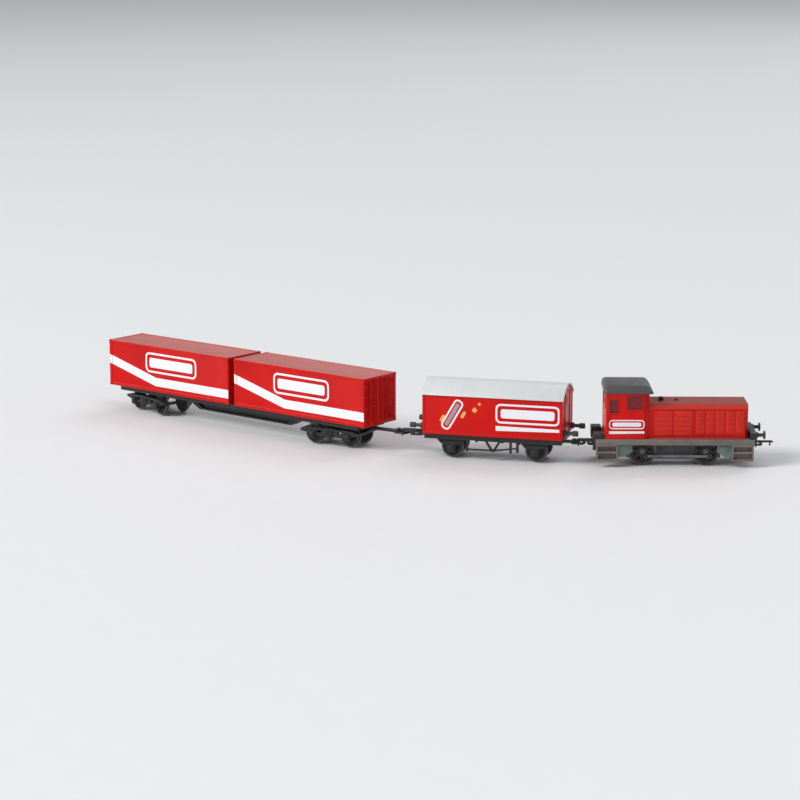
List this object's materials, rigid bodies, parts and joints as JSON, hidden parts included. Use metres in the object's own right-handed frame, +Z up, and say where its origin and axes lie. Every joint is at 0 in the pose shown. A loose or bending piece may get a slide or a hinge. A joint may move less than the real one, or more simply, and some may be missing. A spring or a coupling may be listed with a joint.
{
  "type": "model train",
  "caption": "Toy shunting locomotive with a box van and a bogie container wagon, coupled in a curve, with turning wheels, coupling rods, swivelling bogies and lifting hooks.",
  "frame": {"origin": "on the ground below the middle of the whole train's bounding box", "axes": "+X from the container wagon towards the locomotive, along the chord of the curve; +Y towards the inside of the curve; +Z up"},
  "size_m": [0.4638, 0.0946, 0.0508],
  "materials": {
    "red_shell": "self-coloured moulding, semi-gloss",
    "cab_roof_grey": "painted, satin",
    "van_roof_grey": "satin",
    "window_clear": "clear, slightly smoked",
    "footplate_grey": "satin",
    "black_moulding": "satin, fine texture",
    "coupler_black": "satin",
    "hook_metal": "chemically blackened",
    "wheel_black": "satin, treads polished by running",
    "driving_wheel": "blackened face, bright tread",
    "bright_steel": "drawn and plated",
    "die_cast": "blackened casting",
    "weight_steel": "rolled and zinc plated",
    "motor_steel": "zinc plated",
    "magnet_grey": "sintered",
    "gear_nylon": "natural",
    "brass_strip": "rolled"
  },
  "bodies": {
    "locomotive": {"loco_body_shell": "red_shell", "cab_roof": "cab_roof_grey", "cab_windows": "window_clear", "radiator_grille": "black_moulding", "exhaust_and_filler": "black_moulding", "loco_footplate": "footplate_grey", "loco_steps": "footplate_grey", "loco_buffer_beams": "black_moulding", "loco_buffers": "black_moulding", "loco_frame": "die_cast", "loco_keeper_plate": "black_moulding", "pickup_strips": "brass_strip", "loco_weight": "weight_steel", "loco_screws": "bright_steel", "motor_can": "motor_steel", "motor_magnets": "magnet_grey", "idler_pin": "bright_steel", "loco_front_coupler": "coupler_black", "loco_rear_coupler": "coupler_black"},
    "rear_driving_axle": {"loco_rear_wheels": "driving_wheel", "loco_rear_axle": "bright_steel", "axle_gear": "gear_nylon"},
    "front_driving_axle": {"loco_front_wheels": "driving_wheel", "loco_front_axle": "bright_steel"},
    "left_rod": {"left_coupling_rod": "bright_steel"},
    "right_rod": {"right_coupling_rod": "bright_steel"},
    "idler": {"idler_gear": "gear_nylon"},
    "motor_shaft": {"motor_armature": "bright_steel", "motor_pinion": "brass_strip"},
    "front_hook_of_loco": {"loco_front_hook": "hook_metal"},
    "rear_hook_of_loco": {"loco_rear_hook": "hook_metal"},
    "van": {"van_body": "red_shell", "van_roof": "van_roof_grey", "van_underframe": "black_moulding", "van_weight": "weight_steel", "van_buffers": "black_moulding", "van_screws": "bright_steel", "van_front_coupler": "coupler_black", "van_rear_coupler": "coupler_black"},
    "van_front_axle": {"van_front_wheelset": "wheel_black"},
    "van_rear_axle": {"van_rear_wheelset": "wheel_black"},
    "front_hook_of_van": {"van_front_hook": "hook_metal"},
    "rear_hook_of_van": {"van_rear_hook": "hook_metal"},
    "front_bogie_body": {"front_bogie": "black_moulding", "front_bogie_coupler": "coupler_black"},
    "front_bogie_front_axle": {"front_bogie_front_wheelset": "wheel_black"},
    "front_bogie_rear_axle": {"front_bogie_rear_wheelset": "wheel_black"},
    "hook_of_front_bogie": {"front_bogie_hook": "hook_metal"},
    "rear_bogie_body": {"rear_bogie": "black_moulding", "rear_bogie_coupler": "coupler_black"},
    "rear_bogie_front_axle": {"rear_bogie_front_wheelset": "wheel_black"},
    "rear_bogie_rear_axle": {"rear_bogie_rear_wheelset": "wheel_black"},
    "hook_of_rear_bogie": {"rear_bogie_hook": "hook_metal"},
    "wagon": {"wagon_deck": "black_moulding", "wagon_weight": "weight_steel", "bogie_pins": "bright_steel"},
    "front_load": {"front_container": "red_shell", "front_container_base": "black_moulding"},
    "rear_load": {"rear_container": "red_shell", "rear_container_base": "black_moulding"}
  },
  "joints": [
    {"name": "rear_axle_spin", "type": "hinge", "parent": "locomotive", "child": "rear_driving_axle", "pos_m": [0.15823, 0.00486, 0.00875], "axis": [-0.4058, 0.914, 0], "continuous": true},
    {"name": "front_axle_spin", "type": "hinge", "parent": "locomotive", "child": "front_driving_axle", "pos_m": [0.19296, 0.02028, 0.00875], "axis": [-0.4058, 0.914, 0], "continuous": true},
    {"name": "left_rod_turn", "type": "hinge", "parent": "rear_driving_axle", "child": "left_rod", "pos_m": [0.15628, 0.01586, 0.011], "axis": [-0.4058, 0.914, 0], "continuous": true},
    {"name": "right_rod_turn", "type": "hinge", "parent": "rear_driving_axle", "child": "right_rod", "pos_m": [0.16469, -0.00415, 0.00607], "axis": [-0.4058, 0.914, 0], "continuous": true},
    {"name": "idler_spin", "type": "hinge", "parent": "locomotive", "child": "idler", "pos_m": [0.16351, 0.01213, 0.01653], "axis": [-0.4058, 0.914, 0], "continuous": true},
    {"name": "motor_spin", "type": "hinge", "parent": "locomotive", "child": "motor_shaft", "pos_m": [0.16901, 0.01457, 0.02254], "axis": [-0.4058, 0.914, 0], "continuous": true},
    {"name": "loco_front_hook_lift", "type": "hinge", "parent": "locomotive", "child": "front_hook_of_loco", "pos_m": [0.21964, 0.02993, 0.0135], "axis": [0.4058, -0.914, 0], "range_deg": [0, 25]},
    {"name": "loco_rear_hook_lift", "type": "hinge", "parent": "locomotive", "child": "rear_hook_of_loco", "pos_m": [0.13384, -0.00378, 0.0135], "axis": [-0.4058, 0.914, 0], "range_deg": [0, 25]},
    {"name": "loco_van_coupling", "type": "hinge", "parent": "locomotive", "child": "van", "pos_m": [0.12807, -0.00853, 0.012], "axis": [0, 0, 1], "range_deg": [-2.49, 30.37]},
    {"name": "van_front_axle_spin", "type": "hinge", "parent": "van", "child": "van_front_axle", "pos_m": [0.09956, -0.01356, 0.007], "axis": [-0.1736, 0.9848, 0], "continuous": true},
    {"name": "van_front_hook_lift", "type": "hinge", "parent": "van", "child": "front_hook_of_van", "pos_m": [0.12133, -0.01175, 0.0135], "axis": [0.1736, -0.9848, 0], "range_deg": [0, 25]},
    {"name": "van_rear_axle_spin", "type": "hinge", "parent": "van", "child": "van_rear_axle", "pos_m": [0.04835, -0.02259, 0.007], "axis": [-0.1736, 0.9848, 0], "continuous": true},
    {"name": "van_rear_hook_lift", "type": "hinge", "parent": "van", "child": "rear_hook_of_van", "pos_m": [0.02659, -0.02439, 0.0135], "axis": [-0.1736, 0.9848, 0], "range_deg": [0, 25]},
    {"name": "van_wagon_coupling", "type": "hinge", "parent": "van", "child": "front_bogie_body", "pos_m": [0.01985, -0.02761, 0.012], "axis": [0, 0, 1], "range_deg": [-2.45, 29.8]},
    {"name": "front_bogie_swivel", "type": "hinge", "parent": "front_bogie_body", "child": "wagon", "pos_m": [-0.03004, -0.02441, 0.0148], "axis": [0, 0, 1], "range_deg": [-1.88, 22.41]},
    {"name": "rear_bogie_swivel", "type": "hinge", "parent": "wagon", "child": "rear_bogie_body", "pos_m": [-0.18145, 0.01317, 0.0148], "axis": [0, 0, 1], "range_deg": [-1.88, 22.41]},
    {"name": "front_bogie_front_axle_spin", "type": "hinge", "parent": "front_bogie_body", "child": "front_bogie_front_axle", "pos_m": [-0.01757, -0.02521, 0.007], "axis": [0.0641, 0.9979, 0], "continuous": true},
    {"name": "front_bogie_rear_axle_spin", "type": "hinge", "parent": "front_bogie_body", "child": "front_bogie_rear_axle", "pos_m": [-0.04252, -0.02361, 0.007], "axis": [0.0641, 0.9979, 0], "continuous": true},
    {"name": "front_bogie_hook_lift", "type": "hinge", "parent": "front_bogie_body", "child": "hook_of_front_bogie", "pos_m": [0.01253, -0.02915, 0.0135], "axis": [-0.0641, -0.9979, 0], "range_deg": [0, 25]},
    {"name": "rear_bogie_front_axle_spin", "type": "hinge", "parent": "rear_bogie_body", "child": "rear_bogie_front_axle", "pos_m": [-0.17005, 0.00805, 0.007], "axis": [0.41, 0.9121, 0], "continuous": true},
    {"name": "rear_bogie_rear_axle_spin", "type": "hinge", "parent": "rear_bogie_body", "child": "rear_bogie_rear_axle", "pos_m": [-0.19285, 0.0183, 0.007], "axis": [0.41, 0.9121, 0], "continuous": true},
    {"name": "rear_bogie_hook_lift", "type": "hinge", "parent": "rear_bogie_body", "child": "hook_of_rear_bogie", "pos_m": [-0.21966, 0.03254, 0.0135], "axis": [0.41, 0.9121, 0], "range_deg": [0, 25]},
    {"name": "front_container_lift", "type": "slide", "parent": "wagon", "child": "front_load", "axis": [0, 0, 1], "range_m": [0, 0.04]},
    {"name": "rear_container_lift", "type": "slide", "parent": "wagon", "child": "rear_load", "axis": [0, 0, 1], "range_m": [0, 0.04]}
  ],
  "couplings": [
    {"joint": "front_axle_spin", "follows": "rear_axle_spin", "ratio": 1},
    {"joint": "left_rod_turn", "follows": "rear_axle_spin", "ratio": -1},
    {"joint": "right_rod_turn", "follows": "rear_axle_spin", "ratio": -1},
    {"joint": "idler_spin", "follows": "rear_axle_spin", "ratio": -0.83333},
    {"joint": "motor_spin", "follows": "rear_axle_spin", "ratio": 2}
  ]
}
